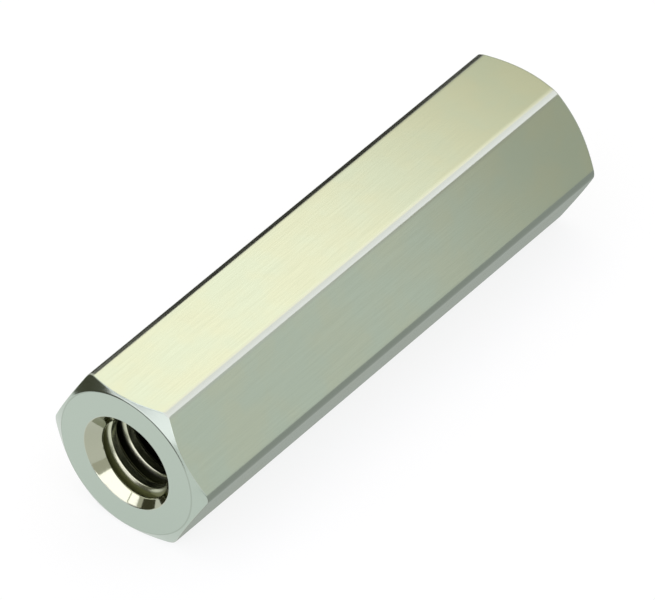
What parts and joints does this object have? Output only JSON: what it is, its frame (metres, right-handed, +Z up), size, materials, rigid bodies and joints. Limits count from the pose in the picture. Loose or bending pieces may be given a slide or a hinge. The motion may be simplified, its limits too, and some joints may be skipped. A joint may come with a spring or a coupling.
{
  "type": "hex standoff",
  "caption": "Female hexagonal standoff, tapped from both ends, that holds a circuit board or panel off a base.",
  "frame": {"origin": "centre of the box's underside, below the middle of the bar, on the flat that it lies on", "axes": "+X along the bar and its bore, +Z up, square to the flat that it lies on"},
  "size_m": [0.0174, 0.0054, 0.0048],
  "materials": {
    "nickel_plate": "bright nickel plating over a drawn and turned bar"
  },
  "bodies": {
    "root": {"standoff": "nickel_plate"}
  },
  "joints": []
}
